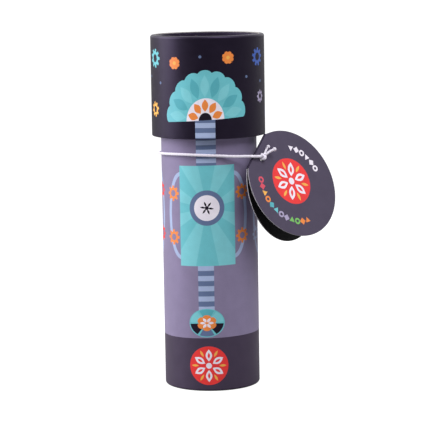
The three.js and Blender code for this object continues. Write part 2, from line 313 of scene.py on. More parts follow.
def tube(name, path, radius, material, sides=24):
    """A closed tube along a path; radius(distance, angle) is its radius there."""
    ahead = np.gradient(path, axis=0)
    ahead /= np.linalg.norm(ahead, axis=1)[:, None]
    side = np.cross(ahead[0], (0, 0, 1))
    angles = np.linspace(0, 2 * math.pi, sides, endpoint=False)
    points = []
    for centre, forward, distance in zip(path, ahead, distances(path)):
        side = side - forward * side.dot(forward)
        side /= np.linalg.norm(side)
        up = np.cross(forward, side)
        for a in angles:
            out = side * math.cos(a) + up * math.sin(a)
            points.append(centre + out * radius(distance, a))
    faces = grid_faces(len(path), sides)
    for start, end in ((0, path[0]), (len(points) - sides, path[-1])):
        points.append(end)
        faces += [(start + k, start + (k + 1) % sides, len(points) - 1) for k in range(sides)]
    return build(name, points, faces, material)


# ---- flat artwork: (ink, outline) layers in painting order ----


def polar(x, y, radius, angle):
    """The point at a distance from x, y, at an angle in degrees."""
    turn = math.radians(angle)
    return x + radius * math.cos(turn), y + radius * math.sin(turn)


def arc(x, y, radius, start=0, end=360, steps=48):
    """Points along an arc from start to end degrees."""
    whole = math.isclose(end - start, 360)
    angles = np.linspace(start, end, steps, endpoint=not whole)
    return [polar(x, y, radius, a) for a in angles]


def box(left, right, bottom, top):
    """The corners of a rectangle."""
    return [(left, bottom), (right, bottom), (right, top), (left, top)]


def slice_of_disc(x, y, radius, start, end, steps=9):
    """The part of a disc from start to end degrees."""
    return [*arc(x, y, radius, start, end, steps), (x, y)]


def petal(x, y, angle, inner, outer, width, steps=15):
    """A pointed oval that lies along a ray from x, y."""
    along, across = math.cos(math.radians(angle)), math.sin(math.radians(angle))
    shares = np.linspace(0, 1, steps)
    sides = [(inner + (outer - inner) * t, width / 2 * math.sin(math.pi * t)) for t in shares]
    sides += [(r, -w) for r, w in sides[-2:0:-1]]
    return [(x + r * along + w * across, y + r * across - w * along) for r, w in sides][::-1]


def scalloped(x, y, radius, lobes, dip, end=360, steps=16):
    """A round rim of lobes that dip between each other, from 0 to end degrees."""
    angles = np.linspace(0, end, lobes * steps, endpoint=end < 360)
    swell = 1 - dip + dip * np.sqrt(np.abs(np.sin(np.pi * lobes * angles / end)))
    return [polar(x, y, radius * r, a) for r, a in zip(swell, angles)]


def rosette(name, x, y, count, inner, outer, width, turn=90.0):
    """Petals all round a point."""
    return [
        (name, petal(x, y, turn + 360 * k / count, inner, outer, width)) for k in range(count)
    ]


def gear(name, ground, x, y, radius, teeth, turn=0.0):
    """A toothed ring, with a hole of the ground's ink."""
    step = 2 * math.pi / teeth
    root = 0.72 * radius
    corners = [(-0.34, root), (-0.2, radius), (0.2, radius), (0.34, root)]
    outline = []
    for tooth in range(teeth):
        for share, reach in corners:
            angle = (tooth + share) * step + turn
            outline.append((x + reach * math.cos(angle), y + reach * math.sin(angle)))
    return [(name, outline), (ground, arc(x, y, 0.42 * radius, steps=24))]


def stripes(left, right, low, high, edge, pitch, inks):
    """Two inks in turn from low to high; the first fills from edge to edge + pitch."""
    layers = []
    first = math.floor((low - edge) / pitch)
    for number in range(first, math.ceil((high - edge) / pitch)):
        bottom, top = edge + number * pitch, edge + (number + 1) * pitch
        layers.append((inks[number % 2], box(left, right, max(low, bottom), min(high, top))))
    return layers


def ribbon(points, width):
    """The outline of a band along a line of points."""
    points = np.array(points, float)
    ahead = np.gradient(points, axis=0)
    across = np.stack([-ahead[:, 1], ahead[:, 0]], axis=1)
    across *= width / 2 / np.linalg.norm(across, axis=1)[:, None]
    return [tuple(p) for p in (*(points - across), *(points + across)[::-1])]


def moved(layers, x, y=0.0, slope=0.0, size=(1, 1)):
    """The layers scaled to size, sheared so that they climb to the right, and moved."""
    wide, high = size
    return [
        (name, [(wide * px + x, high * py + y + slope * wide * px) for px, py in outline])
        for name, outline in layers
    ]


def anticlockwise(outline):
    """The outline, turned round if it runs clockwise."""
    sides = zip(outline, outline[1:] + outline[:1])
    area = sum(a[0] * b[1] - b[0] * a[1] for a, b in sides)
    return outline if area > 0 else outline[::-1]


def cut_up(outline, layers, lines=()):
    """The points and triangles of a flat outline, cut along its layers' edges and the lines,
    and the number of the topmost layer on each triangle."""
    points, edges, faces = [], [], []
    for shape in [outline, *(shape for _, shape in layers)]:
        faces.append(list(range(len(points), len(points) + len(shape))))
        points += anticlockwise(list(shape))
    for line in lines:
        edges.append((len(points), len(points) + 1))
        points += line
    flat, _, triangles, _, _, sources = delaunay_2d_cdt(
        [Vector(p) for p in points], edges, faces, 0, 1e-4, True
    )
    inside = [(t, max(s) - 1) for t, s in zip(triangles, sources) if s]
    return [tuple(p) for p in flat], [t for t, _ in inside], [s for _, s in inside]


# ---- materials ----

PRINT_GLOSS = {"Specular IOR Level": 0.48, "Specular Tint": (0.68, 0.52, 1, 1)}
CARD_LAYER = 0.37  # thickness of one layer of the wound board

INKS = {
    "lilac": (142, 132, 163), "night": (17, 13, 22), "band": (69, 60, 76),
    "teal": (114, 202, 212), "pale_teal": (132, 213, 222), "deep_teal": (92, 182, 194),
    "slate": (102, 120, 157), "sky": (176, 192, 228), "orange": (250, 146, 66),
    "amber": (254, 188, 84), "red": (246, 62, 54), "deep_red": (196, 40, 46),
    "blue": (68, 102, 186), "pale_blue": (98, 134, 210), "deep_blue": (50, 78, 152),
    "white": (250, 243, 255), "black": (20, 16, 22), "pink": (224, 84, 100),
    "green": (126, 200, 100), "pale_lilac": (176, 166, 198), "tag_grey": (76, 70, 86),
}


def linear(colour):
    """A (red, green, blue) colour out of 255 as Blender's linear values."""
    shares = [c / 255 for c in colour]
    return [s / 12.92 if s < 0.04 else ((s + 0.055) / 1.055) ** 2.4 for s in shares] + [1]


def darker(colour, share):
    """A linear colour scaled down to a share of its brightness."""
    return [c * share for c in colour[:3]] + [1]


def feed(tree, target, value):
    """Links a socket to an input, or sets the input to a constant."""
    if isinstance(value, bpy.types.NodeSocket):
        tree.links.new(value, target)
    else:
        target.default_value = value


def add_node(tree, kind, *first, operation=None, **named):
    """Adds a shader node. Its first inputs, and others by name, take sockets or constants."""
    made = tree.nodes.new(f"ShaderNode{kind}")
    if operation:
        made.operation = operation
    for target, value in zip(made.inputs, first):
        feed(tree, target, value)
    for name, value in named.items():
        feed(tree, made.inputs[name], value)
    return made


def noise(tree, size, detail=3.0, stretch=(1, 1, 1)):
    """A noise pattern fixed to the piece, with features of about size millimetres."""
    where = add_node(tree, "TexCoord").outputs["Object"]
    scaled = add_node(tree, "Mapping", where, Scale=stretch).outputs[0]
    return add_node(tree, "TexNoise", scaled, Scale=1 / (size * MM), Detail=detail).outputs[0]


def ranged(tree, socket, low, high, start=0.3, end=0.7):
    """The socket's values from start to end, as values from low to high."""
    wanted = {"From Min": start, "From Max": end, "To Min": low, "To Max": high}
    return add_node(tree, "MapRange", socket, **wanted).outputs[0]


def mixed(tree, factor, first, second):
    """A colour between two, which are colours or sockets."""
    made = tree.nodes.new("ShaderNodeMix")
    made.data_type = "RGBA"
    for target, value in zip((made.inputs[0], *made.inputs[6:8]), (factor, first, second)):
        feed(tree, target, value)
    return made.outputs[2]


def outward(tree, where):
    """The vector to a point of the piece from the Z axis beside it."""
    return add_node(tree, "VectorMath", where, (1, 1, 0), operation="MULTIPLY").outputs[0]


def new_material(name):
    """A new material and its node tree."""
    material = bpy.data.materials.new(name)
    material.use_nodes = True
    return material, material.node_tree


def shaded(material, colour, roughness, relief=None, **others):
    """Feeds the material's shader sockets or constants. relief is (height, depth in mm)."""
    tree = material.node_tree
    shader = tree.nodes["Principled BSDF"]
    for name, value in {"Base Color": colour, "Roughness": roughness, **others}.items():
        feed(tree, shader.inputs[name], value)
    if relief:
        made = add_node(tree, "Bump", Distance=relief[1] * MM, Height=relief[0])
        tree.links.new(made.outputs[0], shader.inputs["Normal"])
    return material


def surface(name, colour, drift, sizes, rough, relief, **others):
    """A surface whose colour drifts darker over two sizes, with relief of the finer one."""
    material, tree = new_material(name)
    coarse, fine = (noise(tree, size) for size in sizes)
    both = add_node(tree, "Math", coarse, fine, operation="ADD").outputs[0]
    light = linear(colour)
    shades = mixed(tree, ranged(tree, both, 0, 1, 0.75, 1.25), darker(light, drift), light)
    return shaded(material, shades, ranged(tree, coarse, *rough), (fine, relief), **others)


@cache
def ink(name):
    """Printed paper in one of the inks, under a satin laminate that shines faintly violet."""
    return surface(f"ink_{name}", INKS[name], drift=0.9, sizes=(5, 0.25), rough=(0.36, 0.46),
                   relief=0.003, **PRINT_GLOSS)


@cache
def worn_ink(name):
    """The same print where it is folded over an edge, with the paper showing in fine cracks."""
    material, tree = new_material(f"fold_{name}")
    colour = linear(INKS[name])
    cracks = ranged(tree, noise(tree, 0.5, 6), 0, 0.45, 0.66, 0.76)
    shades = mixed(tree, noise(tree, 3), darker(colour, 0.8), colour)
    worn = mixed(tree, cracks, shades, linear(INKS["pale_lilac"]))
    roughness = ranged(tree, cracks, 0.44, 0.8, 0, 0.4)
    return shaded(material, worn, roughness, (noise(tree, 0.4), 0.008), **PRINT_GLOSS)


@cache
def paper_material():
    """The bare back and cut edge of the wraps' paper."""
    return surface("paper_back", (206, 200, 196), drift=0.85, sizes=(3, 0.2), rough=(0.8, 0.9),
                   relief=0.01)


@cache
def card_material():
    """Wound grey board: pale fibres on brown-grey, with its paper layers showing on cut ends."""
    material, tree = new_material("raw_card")
    where = add_node(tree, "TexCoord").outputs["Object"]
    radius = add_node(tree, "VectorMath", outward(tree, where), operation="LENGTH")
    layer = add_node(tree, "Math", radius.outputs["Value"], 2 * math.pi / (CARD_LAYER * MM),
                     operation="MULTIPLY")
    lines = add_node(tree, "Math", layer.outputs[0], operation="SINE").outputs[0]
    fibres = noise(tree, 0.35, 6, (1, 1, 4))
    brown, pale, gap = (linear(c) for c in ((158, 143, 118), (196, 182, 156), (120, 104, 82)))
    board = mixed(tree, ranged(tree, fibres, 0, 1), brown, pale)
    layered = mixed(tree, ranged(tree, lines, 0, 0.35, 0.2, 1), board, gap)
    return shaded(material, layered, ranged(tree, fibres, 0.8, 0.95), (fibres, 0.03))


def clear_material():
    """Clear plastic sheet with fine scuffs."""
    material, tree = new_material("clear_plastic")
    scuffs = noise(tree, 0.8, 8, (1, 6, 1))
    tint = mixed(tree, ranged(tree, scuffs, 0, 1), (0.9, 0.93, 0.95, 1), (0.97, 0.98, 0.99, 1))
    roughness = ranged(tree, scuffs, 0.02, 0.12, 0.5, 0.75)
    return shaded(material, tint, roughness, **{"Transmission Weight": 1, "IOR": 1.46})


def frosted_material():
    """Milky plastic that lets the colours behind it show softly."""
    material, tree = new_material("frosted_plastic")
    grain = noise(tree, 0.25, 4)
    cloud = ranged(tree, noise(tree, 6), 0, 1)
    tint = mixed(tree, cloud, (0.95, 0.95, 0.98, 1), (0.99, 0.99, 1, 1))
    return shaded(material, tint, ranged(tree, grain, 0.3, 0.38), (grain, 0.006),
                  **{"Transmission Weight": 0.93, "IOR": 1.2})


def mirror_material():
    """A mirror strip: silvered towards the axis, grey lacquer on its back and ground edges."""
    material, tree = new_material("mirror_strip")
    where = add_node(tree, "TexCoord").outputs
    away = add_node(tree, "VectorMath", outward(tree, where["Object"]), operation="NORMALIZE")
    facing = add_node(tree, "VectorMath", away.outputs[0], where["Normal"],
                      operation="DOT_PRODUCT")
    silver = ranged(tree, facing.outputs["Value"], 1, 0, -0.4, -0.3)
    lacquer = mixed(tree, noise(tree, 2), linear((96, 98, 104)), linear((122, 124, 130)))
    bright = mixed(tree, noise(tree, 9), (0.86, 0.88, 0.9, 1), (0.93, 0.94, 0.95, 1))
    colour = mixed(tree, silver, lacquer, bright)
    return shaded(material, colour, ranged(tree, silver, 0.5, 0.04, 0, 1), Metallic=silver)


def tape_material():
    """Yellowish clear tape with faint creases."""
    return surface("clear_tape", (206, 190, 140), drift=0.85, sizes=(5, 0.6), rough=(0.2, 0.35),
                   relief=0.02, **{"Transmission Weight": 0.5, "Coat Weight": 0.3})


def floor_material():
    """A plain pale floor. Its glow whitens the picture but casts no light on the object."""
    material, tree = new_material("floor")
    seen = add_node(tree, "LightPath").outputs["Is Camera Ray"]
    glow = ranged(tree, seen, 0, FLOOR_GLOW, 0, 1)
    tint = mixed(tree, noise(tree, 400), (0.24, 0.24, 0.24, 1), (0.26, 0.26, 0.26, 1))
    return shaded(material, tint, 0.9, **{
        "Specular IOR Level": 0, "Emission Color": (1, 1, 1, 1), "Emission Strength": glow,
    })


# ---- the elastic loop ----

# The route of the loop, from the knot across the front, round the tube and back to the knot.
ELASTIC_ROUTE = [
    (23.6, -20.5, 113.3), (21.8, -21.7, 113.4), (19.0, -22.4, 113.6), (12.0, -23.1, 113.7),
    (4.2, -23.7, 114.2), (-4.2, -23.7, 114.6), (-12.0, -20.8, 114.8), (-18.4, -15.5, 114.6),
    (-22.6, -8.2, 114.2), (-24.1, 0.0, 113.8), (-22.6, 8.2, 113.4), (-18.4, 15.5, 113.1),
    (-12.0, 20.8, 112.9), (-4.2, 23.7, 112.8), (4.2, 23.7, 112.8), (12.0, 20.8, 112.8),
    (18.4, 15.5, 112.8), (22.6, 8.2, 112.7), (24.1, 0.5, 112.5), (23.9, -7.0, 111.8),
    (23.6, -14.6, 111.0), (24.0, -16.2, 111.6), (24.7, -17.4, 112.2),
]
ELASTIC_DIAMETER = 1.4
BRAID_PITCH = 1.7
KNOT_CORD = 0.64  # radius of the pulled-tight cord in the knot
KNOT_SIZE = (1.35, 1.3, 0.72)  # about how far it reaches along, across and out of the tag
TAILS = [("short", 0.5, 0.82), ("long", 0.62, 0.98)]  # radius, and that of its melted ball
TAIL_BOW = 0.35


def braid(radius):
    """The radius of a braided tube, at a distance along it and an angle round it."""

    def at(distance, angle):
        turn = 2 * math.pi * distance / BRAID_PITCH
        strand = max(math.cos(4 * angle + turn), math.cos(4 * angle - turn))
        return radius * (0.93 + 0.07 * strand)

    return at


def melted_end(radius, ball, length):
    """The radius of a braided end whose last stretch has melted into a ball."""
    plain = braid(radius)

    def at(distance, angle):
        past_middle = distance - (length - ball)
        round_part = math.sqrt(max(ball**2 - past_middle**2, 0))
        return max(plain(distance, angle), round_part) if past_middle < 0 else round_part

    return at


def elastic_material():
    """Pale braided yarn."""
    return surface(
        "elastic_yarn", (247, 240, 255), drift=0.86, sizes=(0.9, 0.12), rough=(0.6, 0.75),
        relief=0.02, **{"Sheen Weight": 0.3, "Sheen Roughness": 0.5},
    )


def tail_path(start, node):
    """A slightly bowed line from the knot to the far end of a tail's CAD node."""
    points = cad_points(node)
    end = points[np.linalg.norm(points - start, axis=1).argmax()]
    along = end - start
    bow = np.cross(along, (0, 1, 0)) / np.linalg.norm(along) * TAIL_BOW
    shares = np.linspace(0, 1, 40)[:, None]
    return start + along * shares + bow * np.sin(math.pi * shares)


def overhand_turns():
    """The closed path of an overhand knot's three turns, about the knot's middle."""
    wide, high, deep = KNOT_SIZE
    turns = []
    for t in np.linspace(0, 2 * math.pi, 91):
        across = math.sin(t) + 2 * math.sin(2 * t)
        up = math.cos(t) - 2 * math.cos(2 * t)
        turns.append((wide / 2.6 * across, high / 3 * up, -deep * math.sin(3 * t)))
    return turns


def clear_of_lap(route):
    """The route with its closest points lifted, so that the cord also slides over the lap."""
    clear = turned_size("body_wrap")[1] + LAP + ELASTIC_DIAMETER / 2
    radii = np.hypot(route[:, 0], route[:, 1])
    lift = np.maximum(clear / radii, 1)[:, None]
    return np.hstack([route[:, :2] * lift, route[:, 2:]])


def make_elastic():
    """The loop, its knot and its two ends, each a braided tube of the same yarn."""
    yarn = elastic_material()
    centre = middle("elastic_knot")
    route = clear_of_lap(evenly(catmull_rom([centre, *ELASTIC_ROUTE, centre]), 0.2))
    loop = tube("elastic_band", route, braid(ELASTIC_DIAMETER / 2), yarn)
    attach(loop, "elastic_loop")

    _, axes = tag_frame("tag_front")
    path = np.array([centre + axes @ turn for turn in overhand_turns()])
    knot = tube("elastic_overhand_knot", evenly(path, 0.15), braid(KNOT_CORD), yarn)
    attach(knot, "elastic_knot")

    for name, radius, ball in TAILS:
        path = evenly(tail_path(centre, f"elastic_tail_{name}"), 0.12)
        shape = melted_end(radius, ball, distances(path)[-1])
        tail = tube(f"elastic_end_{name}", path, shape, yarn)
        attach(tail, f"elastic_tail_{name}")


# ---- the folded tag ----

RIM_STEPS = 140  # points round a leaf's rim
FOLD_STEPS = 13  # lines round the bend of the fold
FOLD_COLUMNS = 25  # points along each of them
FOLD_INSET = 0.03  # how far the fold runs into each leaf, and how much thinner it is


def tag_frame(node):
    """(origin, axes) of a tag leaf: x down the fold, y across the leaf, z out of its front."""
    fold = next(j for j in frame["joints"] if j["name"] == "tag_open")
    along = np.array(fold["axis"])
    faces = frame["nodes"][node].data.polygons
    facing = np.array(max(faces, key=lambda f: f.area).normal)
    facing = facing if facing[1] < 0 else -facing
    facing = facing - along * facing.dot(along)
    facing /= np.linalg.norm(facing)
    axes = np.stack([along, np.cross(facing, along), facing], axis=1)
    return np.array(fold["pos_m"]) / MM, axes


def leaf_size(node, origin, axes):
    """The CAD leaf's disc, its cut along the fold, its faces and its hole, in its own frame."""
    flat = (cad_points(node) - origin) @ axes
    radius = (flat[:, 0].max() - flat[:, 0].min()) / 2
    centre = flat[:, 1].max() - radius
    cut = flat[:, 1].min()
    is_rim = np.hypot(flat[:, 0], flat[:, 1] - centre) > radius - 0.5
    hole = flat[~is_rim & (flat[:, 1] > cut + 0.5)]
    low, high = hole.min(axis=0), hole.max(axis=0)
    x, y = (low[:2] + high[:2]) / 2
    return SimpleNamespace(
        radius=radius, centre=centre, cut=cut, back=flat[:, 2].min(),
        front=flat[:, 2].max(), hole=(x, y, (high[0] - low[0]) / 2),
    )


def tag_artwork(size):
    """A badge between two arcs of small shapes."""
    layers = badge(-0.4, size.centre - 0.9, 11.6)
    colours = ["pink", "pink", "amber", "orange", "deep_teal", "teal", "pale_lilac",
               "pale_lilac", "green", "green", "orange", "orange"]
    for reach, start, end, names in ((18.3, 156, 210, ["white"] * 6), (19.4, -53, 55, colours)):
        for number, angle in enumerate(np.linspace(start, end, len(names))):
            at = polar(0, size.centre, reach, angle)
            layers += small_shape(names[number], *at, number % 3, angle)
    return layers


def badge(x, y, radius):
    """A red disc with a white rosette."""
    layers = [("red", arc(x, y, radius, steps=60))]
    layers += rosette("white", x, y, 6, 0.22 * radius, 0.84 * radius, 0.33 * radius)
    layers += rosette("red", x, y, 6, 0.36 * radius, 0.68 * radius, 0.12 * radius)
    layers += rosette("amber", x, y, 6, 0.52 * radius, 0.9 * radius, 0.12 * radius, turn=60)
    layers.append(("white", arc(x, y, 0.15 * radius, steps=20)))
    return layers


def small_shape(name, x, y, kind, turn):
    """A ring, a lozenge or a triangle, about 3 mm across."""
    if kind == 0:
        return [(name, arc(x, y, 1.6, steps=24)), ("tag_grey", arc(x, y, 0.75, steps=16))]
    if kind == 1:
        return [(name, arc(x, y, 1.75, turn, turn + 360, steps=4))]
    return [(name, arc(x, y, 1.75, turn + 180, turn + 540, steps=3))]


def card_edge(outline, size):
    """The card's thickness along an outline, printed grey where it meets the fold."""
    back, front = size.back, size.front
    points, inks = [], []
    for a, b in zip(outline, outline[1:] + outline[:1]):
        points += [(*a, back), (*b, back), (*b, front), (*a, front)]
        at_fold = max(a[1], b[1]) < size.cut + 0.01
        inks.append("tag_grey" if at_fold else "cut_edge")
    return points, np.arange(len(points)).reshape(-1, 4).tolist(), inks


def card_faces(rim, hole, size, layers):
    """The leaf's printed face and its dark one, the printed one on the side that faces out."""
    flat, triangles, tops = cut_up(rim, [*layers, ("hole", hole)])
    card, printed = zip(*(
        (triangle, layers[top][0] if top >= 0 else "tag_grey")
        for triangle, top in zip(triangles, tops) if top < len(layers)
    ))
    dark = ["inside"] * len(card)
    front_inks, back_inks = (printed, dark) if layers else (dark, printed)
    return [
        ([(x, y, size.front) for x, y in flat], card, front_inks),
        ([(x, y, size.back) for x, y in flat], [t[::-1] for t in card], back_inks),
    ]


def make_leaf(name, node, artwork=None):
    """A punched card disc, cut off along the fold. Its artwork, if any, is on its front."""
    origin, axes = tag_frame(node)
    size = leaf_size(node, origin, axes)
    half = math.degrees(math.acos((size.centre - size.cut) / size.radius))
    rim = arc(0, size.centre, size.radius, half - 90, 270 - half, steps=RIM_STEPS)
    hole = arc(*size.hole, steps=32)
    layers = artwork(size) if artwork else []
    parts = [*card_faces(rim, hole, size, layers), card_edge(rim, size), card_edge(hole, size)]
    placed = [
        ([origin + axes @ np.array(p) for p in points], faces, inks)
        for points, faces, inks in parts
    ]
    surfaces = {n: ink(n) for n in ("tag_grey", *(n for n, _ in layers))}
    surfaces.update(inside=inside_material(), cut_edge=cut_edge_material())
    attach(build_inked(name, placed, surfaces), node)


@cache
def inside_material():
    """The tag's dark matt inside."""
    return surface("tag_inside", (12, 9, 14), drift=0.7, sizes=(6, 0.3), rough=(0.6, 0.75),
                   relief=0.004, **{"Specular IOR Level": 0.2})


@cache
def cut_edge_material():
    """The tag's bare cut edge."""
    return surface("tag_cut_edge", (190, 184, 194), drift=0.6, sizes=(0.8, 0.15),
                   rough=(0.8, 0.9), relief=0.02)


def make_fold():
    """The strip of card that bends between the two leaves."""
    origin, front = tag_frame("tag_front")
    _, back = tag_frame("tag_back")
    size = leaf_size("tag_front", origin, front)
    reach = (size.front + size.back) / 2
    thick = (size.front - size.back - FOLD_INSET) / 2
    opening = math.acos(float(np.clip(front[:, 2].dot(back[:, 2]), -1, 1)))
    bend = np.linspace(math.pi / 2, 1.5 * math.pi - opening, FOLD_STEPS)
    straight = size.cut + FOLD_INSET
    lines = [(bend[0], straight), *((angle, 0) for angle in bend), (bend[-1], straight)]
    ring = [(*line, reach - thick) for line in lines]
    ring += [(*line, reach + thick) for line in lines[::-1]]

    half = math.sqrt(size.radius ** 2 - (size.centre - size.cut) ** 2)
    points = []
    for angle, past, radius in ring:
        out = front[:, 1] * math.cos(angle) + front[:, 2] * math.sin(angle)
        forward = np.cross(out, front[:, 0]) * (-1 if angle > math.pi else 1)
        at = origin + out * radius + forward * past
        points += [at + front[:, 0] * x for x in np.linspace(-half, half, FOLD_COLUMNS)]
    faces = grid_faces(len(ring), FOLD_COLUMNS, ring_rows=True, ring_columns=False)
    for line in range(len(lines) - 1):
        end = (line, line + 1, len(ring) - 2 - line, len(ring) - 1 - line)
        for column in (0, FOLD_COLUMNS - 1):
            faces.append([row * FOLD_COLUMNS + column for row in end])
    fold = build("tag_fold", points, faces, worn_ink("night"))
    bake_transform(fold)


def make_tag():
    """The two leaves and the fold."""
    make_leaf("tag_front_leaf", "tag_front", tag_artwork)
    make_leaf("tag_back_leaf", "tag_back")
    make_fold()


# ---- the printed wraps ----

ROW = 5  # height of a row of faces
CORNER = 1.1  # soft corner where a wrap folds over a card edge
CREASE = 0.4  # corner of a sharp fold
LAP_WIDTH = 9
LAP_RISE = 0.7  # share of the lap's width over which it climbs
PRINT_SLOPE = math.tan(math.radians(1.1))  # how far the body's print climbs to the right
CAP_SLOPE = math.tan(math.radians(3.3))  # and the fans on the cap
PANEL_MIDDLE = -1.5  # round the wrap, from the front
PANEL_BOTTOM, PANEL_TOP, PANEL_WIDTH = 61.2, 109.5, 27.8
ROSETTE_HEIGHT = 89.2
LOOP_HEIGHT = 85.4
WHEEL_HEIGHT = 33.5
FOOT_BAND = 25.9  # height of the dark band at the foot
FAN_BASE = 131.5
PIPE_INKS = ("sky", "slate")
THIRDS = [  # the print repeats in thirds: which one, three tones, cogs' ink, fan's size
    (0, ("teal", "pale_teal", "deep_teal"), "orange", 1),
    (1, ("blue", "pale_blue", "deep_blue"), "sky", 0.78),
    (-1, ("red", "pink", "deep_red"), "red", 0.78),
]
CAP_GEARS = [  # ink, place round the wrap, depth below its top, radius, teeth, turn
    ("teal", -31.4, 9.6, 4.6, 9, 0), ("amber", -32, 34, 3.7, 8, 0.2),
    ("blue", 28.6, 9.5, 4.4, 9, 0.1), ("pale_lilac", 31, 28.5, 3.1, 8, 0),
    ("amber", 81.4, 5.3, 3.4, 8, 0), ("red", -83, 28.9, 2.6, 8, 0),
]


def clipped(outline, left, right, bottom, top):
    """The part of a convex outline inside a box."""
    for axis, limit, side in ((0, left, 1), (0, right, -1), (1, bottom, 1), (1, top, -1)):
        kept = []
        for a, b in zip(outline, outline[1:] + outline[:1]):
            past_a, past_b = (a[axis] - limit) * side, (b[axis] - limit) * side
            if past_a >= 0:
                kept.append(a)
            if past_a * past_b < 0:
                share = past_a / (past_a - past_b)
                kept.append(tuple(a[i] + (b[i] - a[i]) * share for i in (0, 1)))
        outline = kept
    return outline


def sunburst(tones):
    """The panel, with eight rays in a second tone from the rosette's middle."""
    panel = (-PANEL_WIDTH / 2, PANEL_WIDTH / 2, PANEL_BOTTOM, PANEL_TOP)
    reach = math.hypot(PANEL_WIDTH, PANEL_TOP - PANEL_BOTTOM)
    layers = [(tones[0], box(*panel))]
    for start in np.arange(11, 360, 45):
        ray = slice_of_disc(0, ROSETTE_HEIGHT, reach, start, start + 22.5, steps=2)
        layers.append((tones[1], clipped(ray, *panel)))
    return layers


def ringed_rosette():
    """A small dark rosette on a white disc in a slate ring."""
    layers = [("slate", arc(0, ROSETTE_HEIGHT, 8.5, steps=60)),
              ("white", arc(0, ROSETTE_HEIGHT, 6.2))]
    layers += rosette("black", 0, ROSETTE_HEIGHT, 6, 0.4, 3.4, 0.9, turn=52)
    return [*layers, ("black", arc(0, ROSETTE_HEIGHT, 0.9, steps=18))]


def side_loop(side, cog_ink):
    """A bowed pipe on one side of the panel, with two cogs."""
    turns = np.radians(np.linspace(-90, 90, 25))
    bow = [(side * (13.2 + 7.4 * math.cos(t)), LOOP_HEIGHT + 20.2 * math.sin(t)) for t in turns]
    layers = [("sky", ribbon(bow, 1.9))]
    for height in (LOOP_HEIGHT - 10.6, LOOP_HEIGHT + 10.6):
        layers += gear(cog_ink, "lilac", side * 18.3, height, 3.8, 8)
    return layers


def wheel(tones, radius):
    """A disc of six wedges, pale above and dark below, round a flower."""
    layers = [(tones[0], arc(0, 0, radius, steps=60))]
    for wedge, name in enumerate((tones[1], tones[2], tones[1], "black", "slate", "black")):
        start, end = 60 * wedge + 4, 60 * wedge + 56
        layers.append((name, slice_of_disc(0, 0, radius - 0.5, start, end)))
    layers.append(("orange", scalloped(0, 0, 0.56 * radius, 6, 0.2, steps=10)))
    return layers + rosette("white", 0, 0, 6, 0.06 * radius, 0.4 * radius, 0.17 * radius, 120)


def machine(tones, cog_ink, top):
    """A panel with its rosette, loops, pipe above and below, and wheel, about x = 0."""
    layers = stripes(-4.8, 4.8, PANEL_TOP - 2, top, PANEL_TOP + 1.3, 2.13, PIPE_INKS)
    layers += stripes(-4.75, 2.95, WHEEL_HEIGHT + 2.5, PANEL_BOTTOM + 1, 39.06, 2.48, PIPE_INKS)
    layers += side_loop(-1, cog_ink) + side_loop(1, cog_ink)
    layers += sunburst(tones) + ringed_rosette()
    return layers + moved(wheel(tones, 8.7), -0.9, WHEEL_HEIGHT, size=(1, 0.8))


def fan(tones):
    """Half a rosette of radius 1 on a straight base: scalloped petals round a bright middle."""
    layers = [(tones[0], scalloped(0, 0, 1, 9, 0.07, 180))]
    for number in range(9):
        angle = 10 + 20 * number
        layers.append((tones[1 + number % 2], petal(0, 0, angle, 0.46, 0.9, 0.2)))
    layers.append(("white", arc(0, 0, 0.44, 0, 180)))
    for number in range(5):
        layers.append(("orange", petal(0, 0, 18 + 36 * number, 0.17, 0.42, 0.15)))
    layers.append(("black", arc(0, 0, 0.15, 0, 180, steps=20)))
    return layers


def blossom(x, y, radius):
    """A small round flower."""
    return [("orange", scalloped(x, y, radius, 8, 0.18, steps=8)),
            ("amber", arc(x, y, 0.3 * radius, steps=20))]


def cap_artwork(bottom, top, half_round):
    """Three fans on striped pipes, with blossoms, dots and gears between them."""
    layers = []
    for third, tones, _, size in THIRDS:
        motif = stripes(-4.9, 4.7, bottom, FAN_BASE + 2.5, 123.2, 2.35, PIPE_INKS)
        motif += moved(fan(tones), 0, FAN_BASE, CAP_SLOPE, (20.7 * size, 23.7 * size))
        motif += blossom(-15.2 * size, 158.4, 3) + blossom(11.4 * size, 160.8, 3)
        for angle, reach in ((146, 30), (94, 29.5), (42, 29)):
            at = polar(0, FAN_BASE + 0.5, reach, angle)
            motif.append(("slate", arc(*at, 0.7, steps=14)))
        layers += moved(motif, PANEL_MIDDLE + third * half_round * 2 / 3)
    for name, x, depth, radius, teeth, turn in CAP_GEARS:
        layers += gear(name, "night", x, top - depth, radius, teeth, turn)
    return layers


def body_artwork(bottom, top, half_round):
    """Three machines over a dark, slightly uneven foot band with a red badge."""
    edge = []
    for x in np.linspace(-half_round, half_round, 61):
        turn = math.pi * x / half_round
        edge.append((x, FOOT_BAND + 0.55 * math.sin(turn) + 0.25 * math.cos(turn)))
    layers = [("band", [(-half_round, bottom), (half_round, bottom), *edge[::-1]])]
    for third, tones, cog_ink, _ in THIRDS:
        x = PANEL_MIDDLE + third * half_round * 2 / 3
        layers += moved(machine(tones, cog_ink, top - 3), x, slope=PRINT_SLOPE)
    return layers + badge(-1.7, 12.6, 9.5)


def fold_rows(outer, lip, edge, corner, up):
    """A wrap end's rows (radius, height, share of the lap): the printed ones to the lip, and
    the bare ones back inside. up is 1 at a bottom edge and -1 at a top one."""
    if not corner:
        return [(outer, edge, 1)], [(outer - PAPER, edge, 0)]
    middle_at = outer - corner, edge + up * corner
    bend = arc(*middle_at, corner, 0, -90 * up, 6)
    printed = [(*point, share) for point, share in zip(bend, np.linspace(1, 0, 6))]
    bare = [(*point, 0) for point in arc(*middle_at, corner - PAPER, -90 * up, 0, 4)]
    return [*printed, (lip, edge, 0)], [(lip, edge + up * PAPER, 0), *bare]


